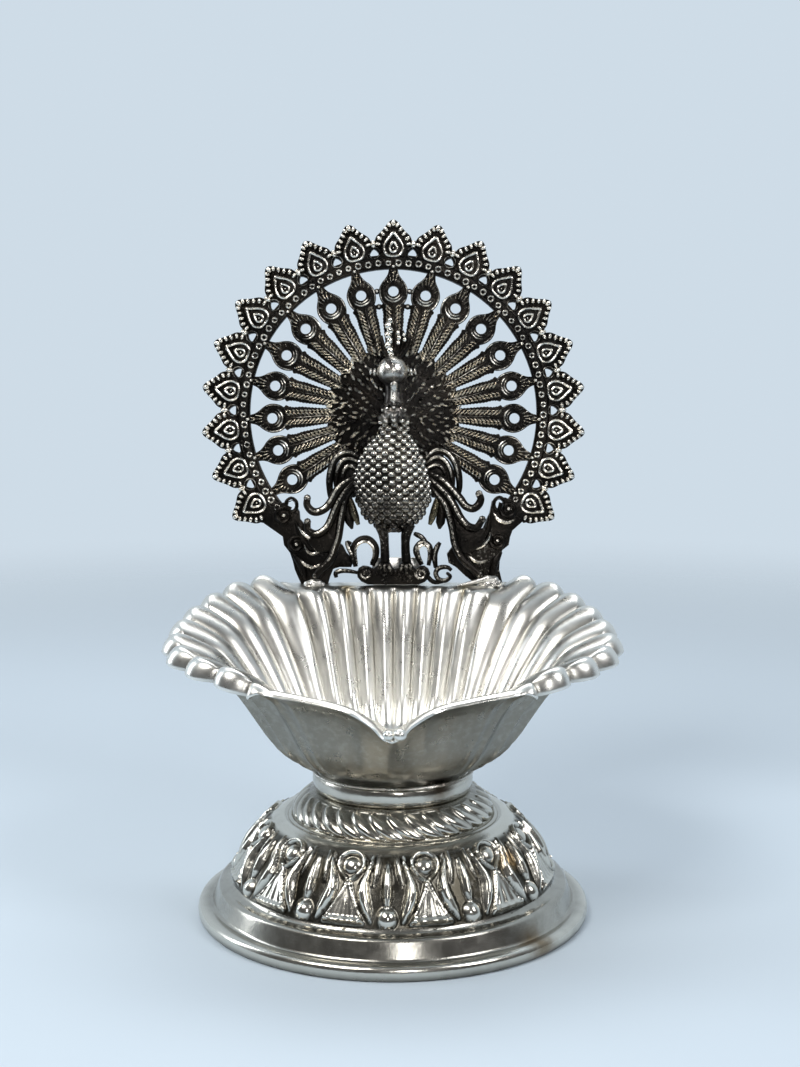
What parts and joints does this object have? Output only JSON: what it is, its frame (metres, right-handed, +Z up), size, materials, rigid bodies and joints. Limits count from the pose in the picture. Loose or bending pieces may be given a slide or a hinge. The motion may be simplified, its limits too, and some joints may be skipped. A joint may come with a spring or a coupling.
{
  "type": "peacock diya",
  "caption": "Small white-metal oil lamp: round embossed foot, fluted shell bowl with a pouring lip, and a blackened pierced peacock plate standing on the bowl's back ledge.",
  "frame": {"origin": "middle of the foot, on the surface that the lamp stands on", "axes": "+Z up, -Y towards the pouring lip and the bird's face, +X to the right of someone who faces the bird"},
  "size_m": [0.0706, 0.066, 0.1065],
  "materials": {
    "white_metal": "polished nickel silver, a pale copper-nickel-zinc alloy, with faint handling marks",
    "blackened_casting": "antique blackened white-metal casting with worn pale silver edges",
    "solder": "dull tin solder with a brown heat tint"
  },
  "bodies": {
    "root": {"base_skirt": "white_metal", "gadroon_collar": "white_metal", "neck_ring": "white_metal", "neck_solder": "solder", "lamp_bowl": "white_metal", "support_strip": "white_metal", "strip_solder": "solder", "left_foot_solder": "solder", "right_foot_solder": "solder", "tail_fan": "blackened_casting", "peacock_figure": "blackened_casting", "body_peg": "blackened_casting", "left_wing": "blackened_casting", "right_wing": "blackened_casting", "ground_scroll": "blackened_casting"}
  },
  "joints": []
}
